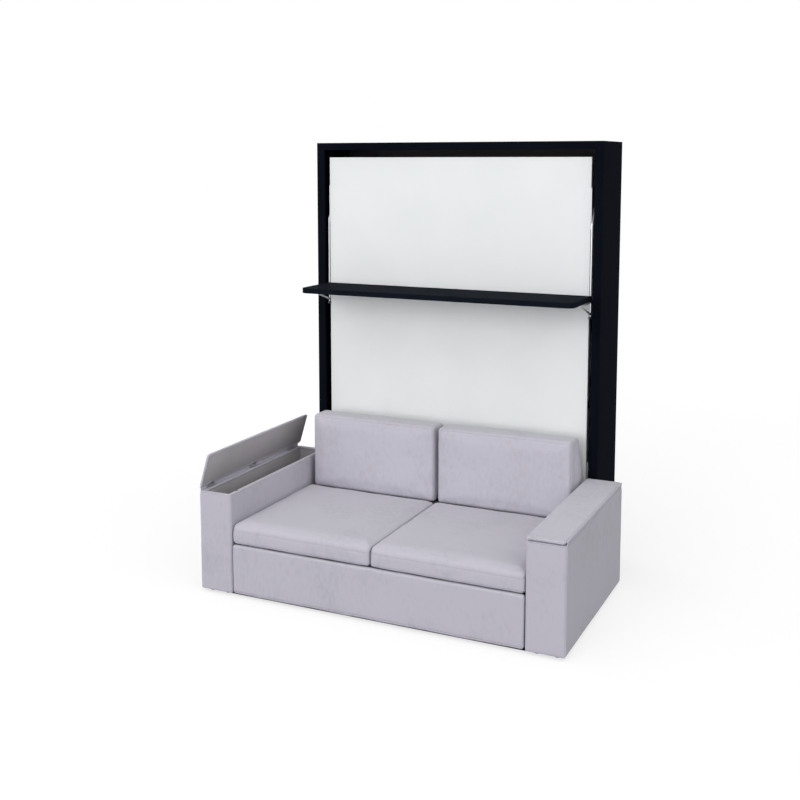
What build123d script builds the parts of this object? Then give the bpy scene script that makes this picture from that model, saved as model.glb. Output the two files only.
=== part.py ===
"""Wall bed with sofa: a vertical bed folds up into a cabinet, with a two-seat storage-arm sofa in front.

Units are millimetres. X runs across the width and Z up from the floor. Y runs from the room (-Y)
to the wall (+Y). Depths are measured from the wall into the room, and out() turns one into a Y.
"""
import math
import os

from build123d import *

# Overall sizes: the mattress sets the width and the height of the bed, the cabinet and the sofa
mattress_width = 1396
mattress_length = 1900
mattress_thickness = 130
cabinet_depth = 360
sofa_depth = 1310
arm_width = 180
arm_height = 514
seat_seam_height = 256

# Boards, sheet and tube
side_board = 22
back_board = 8
front_board = 18
stile_width = 42
header_height = 38
steel_plate = 6
steel_sheet = 3

# Clearances
face_gap = 0.3
running_gap = 0.05
moving_gap = 0.6
panel_gap = 3
cut_overrun = 5
crown_slack = 0.4

# Feet
foot_radius = 15
foot_height = 12
foot_inset = 45

# Cabinet inside
plinth_height = 60
plinth_setback = 70
rail_height = 90
wall_hole_radius = 4.5
wall_hole_spacing_x = 1200
wall_hole_spacing_z = 1500
upper_hole_drop = 75
hardware_space = 42
panel_head_gap = 38

# Bed: the pivot line, the front panel and the steel frame behind it
pivot_behind_face = 11
pivot_height = 460
panel_overlap = 10
mattress_side_gap = 8
mattress_end_gap = 2
panel_recess = 24
bed_tail = 295
tube_depth = 30
tube_width = 50
cross_bar_height = 30
cross_bar_count = 3
slat_count = 14
slat_height = 60
slat_thickness = 8
slat_side_margin = 8
cap_length = 40
cap_wall = 3
mattress_tail = 278
mattress_round = 60
mattress_corner = 26
strap_width = 40
strap_thickness = 2.5
strap_slats = (4, 9)

# Pivot plates and axles
axle_radius = 10
bush_wall = 2.5
bush_flange = 1.5
pivot_boss_radius = 17
pivot_plate_height = 120
pivot_plate_width = 70
bearing_plate_thickness = 3
bearing_plate_rise = 40

# Shelf and its folding legs
leg_pivot_drop = 327
leg_floor_gap = 1
leg_width = 26
leg_pin_radius = 6
leg_pin_head = 10
leg_pin_head_thickness = 1.5
hinge_plate_drop = 20
shelf_overhang = 12
shelf_reach = 311
shelf_over_foot = 114
shelf_thickness = 26
shelf_corner = 40
brace_reach = 515
brace_width = 9
brace_drop = 70
hinge_plate_rise = 178
foot_pad_width = 50
foot_pad_height = 12

# Levelling rods, which keep the shelf level as the bed turns
rod_offset_back = 45
rod_offset_up = 70
rod_width = 16
rod_thickness = 5
rod_pin_radius = 5
rod_collar_radius = 7
rod_eye_radius = 11

# Gas struts that balance the bed
strut_anchor_depth = 60
strut_anchor_height = 1000
strut_tail = 200
strut_body_radius = 8
strut_rod_radius = 4
strut_stroke_share = 0.36
strut_neck_length = 16
strut_plug_length = 8
strut_eye_radius = 8
strut_eye_thickness = 10
strut_pin_radius = 4
anchor_plate_size = 50

# Side layers between the bed and the cabinet side, from the bed outwards
leg_layer_gap = 3.5
rod_layer_gap = 3.5
strut_line_inset = 11.5

# Backrest on the bed panel
backrest_bottom = 338
backrest_top = 722
backrest_reach = 217
backrest_lean = 94
backrest_knee_height = 545
backrest_gap = 9
backrest_side_margin = 2
backrest_crown = 11
backrest_round = 18
ledge_front_margin = 12
ledge_side_margin = 24
ledge_drop = 44
backrest_bracket_width = 30
backrest_bracket_thickness = 4
bracket_foot_height = 60
bracket_top_gap = 32
bracket_shares = (0.28, 0.78)

# Upholstered cushions of the seat and the backrest
cushion_side_gap = 2
cushion_draw = 7
cushion_foot_round = 8
cushion_edge_share = 0.35
cushion_draw_share = 0.15
cushion_station_shares = (0, 0.02, 0.075, 0.2, 0.5, 0.8, 0.925, 0.98, 1)

# Seat that runs forward as the bed comes down
seat_backrest_gap = 24
seat_front_margin = 3
seat_cushion_height = 96
seat_crown = 14
seat_front_crown = 5
seat_round = 24
platform_side_gap = 4
platform_rear_margin = 26
platform_thickness = 12
platform_setback = 24
seat_travel = 160
batten_width = 25
batten_height = 60
cross_batten_height = 38
runner_height = 41
runner_width = 13
runner_wall = 2
side_rail_width = 20
side_rail_height = 48
side_rail_setback = 123
rear_rail_gap = 35
rear_rail_height = 120
rear_rail_bottom = 40

# Upholstered base board
base_front_thickness = 30
base_front_bottom = 14
base_front_round = 10

# Arms with storage under hinged lids
arm_bed_gap = 14
arm_cabinet_gap = 10
cover_thickness = 12
arm_board = 16
arm_corner = 14
lid_thickness = 15
lid_seam = 2
lid_round = 5
lid_open_angle = 73.3
hinge_knuckle_radius = 3
hinge_pin_radius = 1.5
hinge_leaf_thickness = 0.8
hinge_leaf_width = 14
hinge_length = 60
hinge_shares = (0.1, 0.5, 0.9)
buffer_radius = 5
buffer_shares = (0.08, 0.92)
joining_plate_width = 40
joining_plate_height = 100
joining_plate_heights = (120, 380)

# Places that follow from the sizes above
wall_y = sofa_depth / 2
panel_face_depth = cabinet_depth - panel_recess
pivot_depth = panel_face_depth - pivot_behind_face
shelf_front_depth = panel_face_depth + shelf_reach
backrest_front_depth = panel_face_depth + backrest_reach
backrest_top_back_depth = panel_face_depth + backrest_lean
seat_rear_depth = backrest_front_depth + seat_backrest_gap
side_rail_rear_depth = seat_rear_depth + side_rail_setback
arm_rear_depth = cabinet_depth + arm_cabinet_gap
rear_rail_depth = cabinet_depth + rear_rail_gap
bracket_top_height = backrest_top - bracket_top_gap
half_frame = mattress_width / 2 + mattress_side_gap
half_panel = half_frame + panel_overlap
half_inside = half_panel + hardware_space
half_cabinet = half_inside + side_board
half_opening = half_cabinet - stile_width
arm_inside = half_panel + arm_bed_gap
half_sofa = arm_inside + arm_width
mattress_bottom = pivot_height - mattress_tail
panel_top = mattress_bottom + mattress_length + mattress_end_gap
cabinet_height = panel_top + panel_head_gap + header_height
stile_back_depth = cabinet_depth - front_board
panel_back_depth = panel_face_depth - front_board
frame_back_depth = panel_back_depth - tube_depth
bed_bottom = pivot_height - bed_tail
plate_x = half_panel + moving_gap
leg_x = half_panel + leg_layer_gap
rod_x = leg_x + steel_plate + rod_layer_gap
strut_x = half_inside - strut_line_inset
rod_pivot_depth = pivot_depth - rod_offset_back
rod_pivot_height = pivot_height + rod_offset_up
leg_pivot_height = panel_top - leg_pivot_drop
leg_head_depth = pivot_depth - rod_offset_back
leg_head_height = leg_pivot_height + rod_offset_up
leg_foot_height = leg_pivot_height - pivot_height + leg_floor_gap
shelf_top = leg_foot_height + shelf_over_foot
shelf_bottom = shelf_top - shelf_thickness
shelf_back_depth = panel_face_depth + panel_gap
rim_height = arm_height - lid_thickness - lid_seam
hinge_x = half_sofa - hinge_knuckle_radius
hinge_height = arm_height - hinge_knuckle_radius
platform_bottom = seat_seam_height + moving_gap


def out(depth):
    """The Y of a place at this depth from the wall."""
    return wall_y - depth


def block(x_span, depth_span, z_span):
    """A box between two X, two depths from the wall and two heights."""
    x0, x1 = x_span
    y0, y1 = out(depth_span[1]), out(depth_span[0])
    z0, z1 = z_span
    middle = Pos((x0 + x1) / 2, (y0 + y1) / 2, (z0 + z1) / 2)
    return middle * Box(x1 - x0, y1 - y0, z1 - z0)


def bar_x(x_span, depth, height, radius):
    """A round bar along X."""
    x0, x1 = x_span
    return Pos((x0 + x1) / 2, out(depth), height) * Rot(0, 90, 0) * Cylinder(radius, x1 - x0)


def plate(points, x_span):
    """A flat plate square to X, whose outline is given as (depth, height) points."""
    outline = Polyline(*[(0, out(d), z) for d, z in points], close=True)
    face = make_face(Pos(x_span[0], 0, 0) * outline)
    return extrude(face, x_span[1] - x_span[0], dir=(1, 0, 0))


def strip(start, end, width):
    """The four (depth, height) corners of a straight bar between two places."""
    (d0, z0), (d1, z1) = start, end
    length = math.hypot(d1 - d0, z1 - z0)
    nd, nz = (z1 - z0) / length * width / 2, (d0 - d1) / length * width / 2
    return [(d0 + nd, z0 + nz), (d1 + nd, z1 + nz), (d1 - nd, z1 - nz), (d0 - nd, z0 - nz)]


def mirrored(shape):
    """The same piece on the other side of the bed."""
    return mirror(shape, about=Plane.YZ)


def pair(shape):
    """A piece on the right side and its mirror image on the left."""
    return [shape, mirrored(shape)]


def save(name, *shapes):
    """Write one node, with each of its solids kept apart."""
    solids = [solid for shape in shapes for solid in shape.solids()]
    export_step(Compound(children=solids), os.path.join("parts", name + ".step"))


def cabinet():
    """Sides, front stiles, header, top, bottom, plinth, back and the two wall rails."""
    side = block((half_inside, half_cabinet), (0, stile_back_depth), (foot_height, cabinet_height))
    stile = block((half_opening, half_cabinet), (stile_back_depth, cabinet_depth),
                  (foot_height, cabinet_height))
    save("cabinet_side_right", side)
    save("cabinet_side_left", mirrored(side))
    save("front_stile_right", stile)
    save("front_stile_left", mirrored(stile))
    header_bottom = cabinet_height - header_height
    save("header_rail", block((-half_opening, half_opening), (stile_back_depth, cabinet_depth),
                              (header_bottom, cabinet_height)))
    inside = (-half_inside, half_inside)
    top_bottom = cabinet_height - side_board
    save("top_board", block(inside, (back_board, stile_back_depth), (top_bottom, cabinet_height)))
    plinth_top = foot_height + plinth_height
    plinth_face = cabinet_depth - plinth_setback
    save("bottom_board", block(inside, (back_board, plinth_face), (plinth_top, plinth_top + side_board)))
    save("plinth", block(inside, (plinth_face - front_board, plinth_face), (foot_height, plinth_top)))
    back = block(inside, (0, back_board), (foot_height, cabinet_height))
    rails = Part()
    upper_hole_height = cabinet_height - upper_hole_drop
    for hole_height in (upper_hole_height, upper_hole_height - wall_hole_spacing_z):
        low = hole_height - rail_height / 2
        rail = block(inside, (back_board, back_board + front_board), (low, low + rail_height))
        for x in (-wall_hole_spacing_x / 2, wall_hole_spacing_x / 2):
            hole_length = back_board + front_board + cut_overrun
            hole = Pos(x, out(hole_length / 2), hole_height) * Rot(90, 0, 0) * Cylinder(
                wall_hole_radius, hole_length + cut_overrun)
            rail -= hole
            back -= hole
        rails += rail
    save("back_panel", back)
    save("wall_rails", rails)


def feet():
    """Glides under the cabinet sides, the arms and the base board."""
    glides = []
    cabinet_x = half_inside + side_board / 2
    arm_x = (arm_inside + foot_inset, half_sofa - foot_inset)
    places = [(cabinet_x, foot_inset), (cabinet_x, stile_back_depth - foot_inset)]
    places += [(x, d) for x in arm_x for d in (arm_rear_depth + foot_inset, sofa_depth - foot_inset)]
    for x, depth in places:
        radius = side_board / 2 if x == cabinet_x else foot_radius
        for side in (-1, 1):
            glides.append(Pos(side * x, out(depth), foot_height / 2) * Cylinder(radius, foot_height))
    save("feet", *glides)


def bearing_plates():
    """Steel plates on the cabinet sides: an axle for the bed, and a pin for the levelling rod."""
    x_face = half_inside - bearing_plate_thickness
    base = block((x_face, half_inside),
                 (pivot_depth - pivot_plate_width, pivot_depth + axle_radius),
                 (pivot_height - pivot_plate_height / 2, rod_pivot_height + bearing_plate_rise))
    axle = bar_x((half_panel + face_gap, x_face), pivot_depth, pivot_height, axle_radius)
    collar_start = plate_x + steel_plate + bush_flange + running_gap
    collar = bar_x((collar_start, x_face), pivot_depth, pivot_height, axle_radius + bush_wall)
    rod_pin = bar_x((rod_x - face_gap, x_face), rod_pivot_depth, rod_pivot_height, rod_pin_radius)
    rod_collar = bar_x((rod_x + rod_thickness + face_gap, x_face), rod_pivot_depth, rod_pivot_height,
                       rod_collar_radius)
    save("bearing_plates", *pair(base + axle + collar + rod_pin + rod_collar))


def strut_anchor_plates():
    """Small steel plates high on the cabinet sides, each with the pin of a gas strut."""
    x_face = half_inside - bearing_plate_thickness
    half = anchor_plate_size / 2
    base = block((x_face, half_inside), (strut_anchor_depth - half, strut_anchor_depth + half),
                 (strut_anchor_height - half, strut_anchor_height + half))
    pin = bar_x((strut_x - strut_eye_thickness / 2 - face_gap, x_face), strut_anchor_depth,
                strut_anchor_height, strut_pin_radius)
    save("strut_anchor_plates", *pair(base + pin))


def bed_frame():
    """Front panel, steel side tubes, end tubes and cross bars."""
    save("front_panel", block((-half_panel, half_panel), (panel_back_depth, panel_face_depth),
                              (bed_bottom, panel_top)))
    tube_inside = half_frame - tube_width
    frame_top = panel_top - panel_gap
    tube_span = (frame_back_depth, panel_back_depth)
    side = block((tube_inside, half_frame), tube_span, (bed_bottom, frame_top))
    save("bed_side_rail_right", side)
    save("bed_side_rail_left", mirrored(side))
    across = (-tube_inside, tube_inside)
    low = block(across, tube_span, (bed_bottom, bed_bottom + tube_width))
    high = block(across, tube_span, (frame_top - tube_width, frame_top))
    save("bed_end_rails", low, high)
    bars = []
    for n in range(1, cross_bar_count + 1):
        z = bed_bottom + (frame_top - bed_bottom) * n / (cross_bar_count + 1)
        bars.append(block(across, tube_span, (z - cross_bar_height / 2, z + cross_bar_height / 2)))
    save("bed_cross_bars", *bars)


def slat_centre(n):
    """The height of the middle of slat n, counted from the lowest."""
    first = bed_bottom + tube_width + slat_height / 2
    last = panel_top - tube_width - slat_height / 2
    return first + (last - first) * n / (slat_count - 1)


def slats():
    """Sprung slats across the frame, each end held in a plastic cap on the side tube."""
    cap_depth = slat_thickness + cap_wall
    slat_half = half_frame - slat_side_margin
    boards, caps = [], []
    for n in range(slat_count):
        z = slat_centre(n)
        z_span = (z - slat_height / 2, z + slat_height / 2)
        slat = block((-slat_half, slat_half), (frame_back_depth - slat_thickness, frame_back_depth), z_span)
        boards.append(slat)
        cap_start = slat_half - cap_length
        cap = block((cap_start, slat_half + cap_wall), (frame_back_depth - cap_depth, frame_back_depth),
                    (z_span[0] - cap_wall, z_span[1] + cap_wall))
        caps += pair(cap - slat)
    save("slats", *boards)
    save("slat_caps", *caps)


def mattress():
    """A foam mattress with well rounded ends, and two elastic straps that hold it upright."""
    front = frame_back_depth - slat_thickness - cap_wall - face_gap
    back = front - mattress_thickness
    half = mattress_width / 2
    pad = block((-half, half), (back, front), (mattress_bottom, mattress_bottom + mattress_length))
    rear = pad.faces().sort_by(Axis.Y)[-1]
    ends = rear.edges().filter_by(Axis.X)
    pad = fillet(ends, mattress_round)
    sides = pad.edges().filter_by(Axis.Z)
    pad = fillet(sides, mattress_corner)
    save("mattress", pad)
    straps = []
    strap_half = half + face_gap + strap_thickness
    for n in strap_slats:
        z = (slat_centre(n) + slat_centre(n + 1)) / 2
        z_span = (z - strap_width / 2, z + strap_width / 2)
        outside = block((-strap_half, strap_half), (back - face_gap - strap_thickness, frame_back_depth),
                        z_span)
        inside = block((-half - face_gap, half + face_gap),
                       (back - face_gap, frame_back_depth + cut_overrun),
                       (z_span[0] - cut_overrun, z_span[1] + cut_overrun))
        straps.append(outside - inside)
    save("mattress_straps", *straps)


def bed_pivot_arms():
    """Plates on the side tubes that turn on the axles, with the strut's ball stud on their tail."""
    tail_height = pivot_height - strut_tail
    spacer = block((half_frame, plate_x), (frame_back_depth, panel_back_depth - face_gap),
                   (tail_height - strut_eye_radius, pivot_height + pivot_plate_height))
    arm = block((plate_x, plate_x + steel_plate), (frame_back_depth, pivot_depth),
                (tail_height - strut_eye_radius, pivot_height + pivot_plate_height))
    boss = bar_x((plate_x, plate_x + steel_plate), pivot_depth, pivot_height, pivot_boss_radius)
    stud_end = strut_x - strut_eye_thickness / 2 - face_gap
    stud = bar_x((plate_x, stud_end), pivot_depth, tail_height, strut_eye_radius)
    hole = bar_x((half_frame, half_cabinet), pivot_depth, pivot_height, axle_radius + bush_wall)
    save("bed_pivot_arms", *pair(spacer + arm + boss + stud - hole))
    sleeve = bar_x((plate_x, plate_x + steel_plate), pivot_depth, pivot_height, axle_radius + bush_wall)
    flange_start = plate_x + steel_plate
    flange = bar_x((flange_start, flange_start + bush_flange), pivot_depth, pivot_height,
                   pivot_boss_radius - bush_flange)
    bore = bar_x((half_frame, half_cabinet), pivot_depth, pivot_height, axle_radius + running_gap)
    save("pivot_bushes", *pair(sleeve + flange - bore))


def leg_hinge_plates():
    """Plates on the bed's side tubes, each with the pin that a leg of the shelf turns on."""
    bottom = leg_pivot_height - hinge_plate_drop
    top = leg_pivot_height + hinge_plate_rise
    face = leg_x - face_gap
    spacer = block((half_frame, plate_x), (frame_back_depth, panel_back_depth - face_gap),
                   (bottom, top))
    cheek = block((plate_x, face), (frame_back_depth, panel_face_depth), (bottom, top))
    pin_end = leg_x + steel_plate + face_gap
    pin = bar_x((face, pin_end), pivot_depth, leg_pivot_height, leg_pin_radius)
    head = bar_x((pin_end, pin_end + leg_pin_head_thickness), pivot_depth, leg_pivot_height, leg_pin_head)
    save("leg_hinge_plates", *pair(spacer + cheek + pin + head))


def shelf_legs():
    """Steel legs that hang from the bed, each with a head for the rod and a brace under the shelf."""
    x_span = (leg_x, leg_x + steel_plate)
    rear, front = pivot_depth - leg_width / 2, pivot_depth + leg_width / 2
    pad_top = leg_foot_height + foot_pad_height
    bar = block(x_span, (rear, front), (pad_top, leg_pivot_height))
    knuckle = bar_x(x_span, pivot_depth, leg_pivot_height, leg_width / 2)
    head = strip((pivot_depth, leg_pivot_height), (leg_head_depth, leg_head_height), leg_width)
    head = plate(head, x_span) + bar_x(x_span, leg_head_depth, leg_head_height, leg_width / 2)
    arm = block(x_span, (rear, brace_reach), (shelf_bottom - brace_width, shelf_bottom))
    brace_foot = (pivot_depth, shelf_bottom - brace_drop)
    brace_tip = (brace_reach - brace_width / 2, shelf_bottom - brace_width / 2)
    brace = plate(strip(brace_foot, brace_tip, brace_width), x_span)
    leg = bar + knuckle + head + arm + brace
    leg -= bar_x((half_panel, half_cabinet), pivot_depth, leg_pivot_height, leg_pin_radius + running_gap)
    pin_end = rod_x + rod_thickness + face_gap
    leg += bar_x((leg_x, pin_end), leg_head_depth, leg_head_height, rod_pin_radius)
    save("shelf_leg_right", leg)
    save("shelf_leg_left", mirrored(leg))
    pad_half = foot_pad_width / 2
    pad = block((leg_x - cap_wall, leg_x + steel_plate + face_gap),
                (pivot_depth - pad_half, pivot_depth + pad_half), (leg_foot_height, pad_top))
    save("leg_foot_pads", *pair(pad))


def shelf():
    """A shelf board with two rounded front corners."""
    half = half_panel + shelf_overhang
    board = block((-half, half), (shelf_back_depth, shelf_front_depth), (shelf_bottom, shelf_top))
    corners = board.edges().filter_by(Axis.Z).sort_by(Axis.Y)[:2]
    save("shelf", fillet(corners, shelf_corner))


def levelling_rods():
    """Flat steel rods from the cabinet to the legs, as long as the bed is from pivot to leg pin."""
    x_span = (rod_x, rod_x + rod_thickness)
    bar = block(x_span, (rod_pivot_depth - rod_width / 2, rod_pivot_depth + rod_width / 2),
                (rod_pivot_height, leg_head_height))
    for height in (rod_pivot_height, leg_head_height):
        bar += bar_x(x_span, rod_pivot_depth, height, rod_eye_radius)
    for height in (rod_pivot_height, leg_head_height):
        bar -= bar_x((half_panel, half_cabinet), rod_pivot_depth, height, rod_pin_radius + running_gap)
    save("levelling_rod_right", bar)
    save("levelling_rod_left", mirrored(bar))


def gas_struts():
    """Gas struts beside the bed: a cylinder on the cabinet pin and a rod to the bed's ball stud."""
    anchor = Vector(strut_x, out(strut_anchor_depth), strut_anchor_height)
    tail = Vector(strut_x, out(pivot_depth), pivot_height - strut_tail)
    along = tail - anchor
    length = along.length
    direction = along.normalized()
    half_eye = strut_eye_thickness / 2
    x_span = (strut_x - half_eye, strut_x + half_eye)

    def round_bar(start, end, radius):
        base = Plane(origin=anchor + direction * start, z_dir=direction)
        return extrude(base * Circle(radius), end - start)

    body_end = length * (1 - strut_stroke_share)
    bore_end = body_end + cut_overrun
    bore_start = strut_neck_length + strut_plug_length
    cylinder = round_bar(0, bore_start, strut_rod_radius + face_gap)
    cylinder += round_bar(strut_neck_length, body_end, strut_body_radius)
    cylinder += bar_x(x_span, strut_anchor_depth, strut_anchor_height, strut_eye_radius)
    cylinder -= bar_x((half_panel, half_cabinet), strut_anchor_depth, strut_anchor_height,
                      strut_pin_radius + running_gap)
    cylinder -= round_bar(bore_start, bore_end, strut_rod_radius + running_gap)
    rod_start = bore_start + length * strut_stroke_share - strut_eye_radius
    rod = round_bar(rod_start, length, strut_rod_radius)
    rod += bar_x(x_span, pivot_depth, pivot_height - strut_tail, strut_eye_radius)
    save("strut_cylinder_right", cylinder)
    save("strut_cylinder_left", mirrored(cylinder))
    save("strut_rod_right", rod)
    save("strut_rod_left", mirrored(rod))


def bulged_face(corners, bulges, radius, x):
    """A closed outline at one X: sides bowed outwards, upper corners rounded more than lower ones."""
    edges = []
    for n, (d0, z0) in enumerate(corners):
        d1, z1 = corners[(n + 1) % len(corners)]
        start, end = (x, out(d0), z0), (x, out(d1), z1)
        if bulges[n] == 0:
            edges.append(Line(start, end))
            continue
        length = math.hypot(d1 - d0, z1 - z0)
        nd, nz = (z0 - z1) / length * bulges[n], (d1 - d0) / length * bulges[n]
        middle = (x, out((d0 + d1) / 2 + nd), (z0 + z1) / 2 + nz)
        edges.append(ThreePointArc(start, middle, end))
    face = make_face(edges)
    middle_z = sum(z for d, z in corners) / len(corners)
    face = fillet([v for v in face.vertices() if v.Z > middle_z], radius)
    return fillet([v for v in face.vertices() if v.Z < middle_z], cushion_foot_round)


def crowned(x_span, corners, bulges, radius):
    """A cushion: outlines drawn in at both ends and fullest in the middle, lofted along X."""
    x0, x1 = x_span
    width = x1 - x0
    centre_d = sum(d for d, z in corners) / len(corners)
    centre_z = sum(z for d, z in corners) / len(corners)
    faces = []
    for share in cushion_station_shares:
        from_end = min(share, 1 - share)
        inset = cushion_draw * (1 - min(from_end / cushion_draw_share, 1)) ** 2
        swell = cushion_edge_share + (1 - cushion_edge_share) * math.sin(math.pi * share)
        drawn = []
        for d, z in corners:
            step_d = math.copysign(inset, centre_d - d)
            step_z = math.copysign(inset, centre_z - z)
            drawn.append((d + step_d, z + step_z))
        faces.append(bulged_face(drawn, [b * swell for b in bulges], radius, x0 + width * share))
    return loft(faces)


def backrest():
    """Two wedge cushions on the bed panel, on a steel ledge and held from behind by brackets."""
    wedge_back = panel_face_depth + backrest_gap
    corners = [(wedge_back, backrest_bottom), (wedge_back, backrest_knee_height),
               (backrest_top_back_depth, backrest_top), (backrest_front_depth, backrest_top),
               (backrest_front_depth, backrest_bottom)]
    bulges = [0, 0, backrest_crown, backrest_crown, 0]
    half = half_panel - backrest_side_margin
    cushion = crowned((cushion_side_gap / 2, half), corners, bulges, backrest_round)
    save("back_cushion_right", cushion)
    save("back_cushion_left", mirrored(cushion))
    ledge_top = backrest_bottom - crown_slack
    flange_face = panel_face_depth + steel_sheet
    ledge_half = half - ledge_side_margin
    ledge = block((-ledge_half, ledge_half), (panel_face_depth, backrest_front_depth - ledge_front_margin),
                  (ledge_top - steel_sheet, ledge_top))
    ledge += block((-ledge_half, ledge_half), (panel_face_depth, flange_face),
                   (ledge_top - ledge_drop, ledge_top))
    save("backrest_ledge", ledge)
    knee = backrest_knee_height
    slope = (backrest_top_back_depth - wedge_back) / (backrest_top - knee)
    tilt = math.hypot(1, slope)
    thickness = backrest_bracket_thickness
    foot_face = panel_face_depth + thickness
    front_at_knee = wedge_back - crown_slack * tilt
    back_at_knee = front_at_knee - thickness * tilt
    lean = slope * (bracket_top_height - knee)
    outline = [(panel_face_depth, knee - bracket_foot_height), (foot_face, knee - bracket_foot_height),
               (foot_face, knee - (front_at_knee - foot_face) / slope),
               (front_at_knee + lean, bracket_top_height), (back_at_knee + lean, bracket_top_height),
               (panel_face_depth, knee - (back_at_knee - panel_face_depth) / slope)]
    brackets = []
    for share in bracket_shares:
        x = half * share
        x_span = (x - backrest_bracket_width / 2, x + backrest_bracket_width / 2)
        brackets += pair(plate(outline, x_span))
    save("backrest_brackets", *brackets)


def seat():
    """Two seat cushions on a board with battens, which run forward on ball-bearing runners."""
    platform_top = platform_bottom + platform_thickness
    front_depth = sofa_depth - seat_front_margin
    cushion_half = arm_inside - cushion_side_gap - face_gap
    bottom = platform_bottom + face_gap
    top = seat_seam_height + seat_cushion_height
    corners = [(seat_rear_depth, bottom), (seat_rear_depth, top),
               (front_depth - seat_front_crown, top), (front_depth - seat_front_crown, bottom)]
    bulges = [0, seat_crown, seat_front_crown, 0]
    cushion = crowned((cushion_side_gap / 2, cushion_half), corners, bulges, seat_round)
    platform_half = cushion_half - platform_side_gap
    platform_front = front_depth - platform_setback
    hollow = block((-platform_half - face_gap, platform_half + face_gap),
                   (seat_rear_depth - cut_overrun, platform_front + face_gap),
                   (platform_bottom - cut_overrun, platform_top + face_gap))
    cushion -= hollow
    save("seat_cushion_right", cushion)
    save("seat_cushion_left", mirrored(cushion))
    platform_rear = seat_rear_depth + platform_rear_margin
    save("seat_platform", block((-platform_half, platform_half), (platform_rear, platform_front),
                                (platform_bottom, platform_top)))
    rail_x = arm_inside - side_rail_width
    batten_x = rail_x - runner_width
    batten_front = sofa_depth - base_front_thickness - seat_travel - cut_overrun
    batten = block((batten_x - batten_width, batten_x), (platform_rear, batten_front),
                   (platform_bottom - batten_height, platform_bottom))
    inner = (-batten_x + batten_width, batten_x - batten_width)
    cross_z = (platform_bottom - cross_batten_height, platform_bottom)
    rear_cross = block(inner, (platform_rear, platform_rear + batten_width), cross_z)
    front_cross = block(inner, (batten_front - batten_width, batten_front), cross_z)
    save("seat_battens", *pair(batten), rear_cross, front_cross)
    rail_bottom = platform_bottom - batten_height - face_gap
    rail_front = sofa_depth - base_front_thickness
    rail = block((rail_x, arm_inside), (side_rail_rear_depth, rail_front),
                 (rail_bottom, rail_bottom + side_rail_height))
    save("base_side_rails", *pair(rail))
    runner_low = rail_bottom + (side_rail_height - runner_height) / 2
    channel_span = (side_rail_rear_depth, rail_front)
    channel = block((batten_x + face_gap, rail_x), channel_span, (runner_low, runner_low + runner_height))
    slot_low = runner_low + runner_wall
    channel -= block((batten_x, rail_x - runner_wall),
                     (channel_span[0] - cut_overrun, channel_span[1] + cut_overrun),
                     (slot_low, slot_low + runner_height - 2 * runner_wall))
    save("fixed_runners", *pair(channel))
    slider = block((batten_x, rail_x - runner_wall - face_gap), (platform_rear, batten_front),
                   (slot_low + face_gap, slot_low + runner_height - 2 * runner_wall - face_gap))
    save("sliding_runners", *pair(slider))


def base():
    """The upholstered board under the seat, and the rail that ties the arms at the back."""
    half = arm_inside - cushion_side_gap - face_gap
    board = block((-half, half), (sofa_depth - base_front_thickness, sofa_depth),
                  (base_front_bottom, seat_seam_height))
    front = board.faces().sort_by(Axis.Y)[0]
    save("base_front", fillet(front.edges(), base_front_round))
    save("base_rear_rail", block((-arm_inside, arm_inside),
                                 (rear_rail_depth, rear_rail_depth + side_rail_width),
                                 (rear_rail_bottom, rear_rail_bottom + rear_rail_height)))
    plates = []
    for height in joining_plate_heights:
        tab = block((half_cabinet - joining_plate_width, half_cabinet), (cabinet_depth, arm_rear_depth),
                    (height, height + joining_plate_height))
        plates += pair(tab)
    save("joining_plates", *plates)


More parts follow.
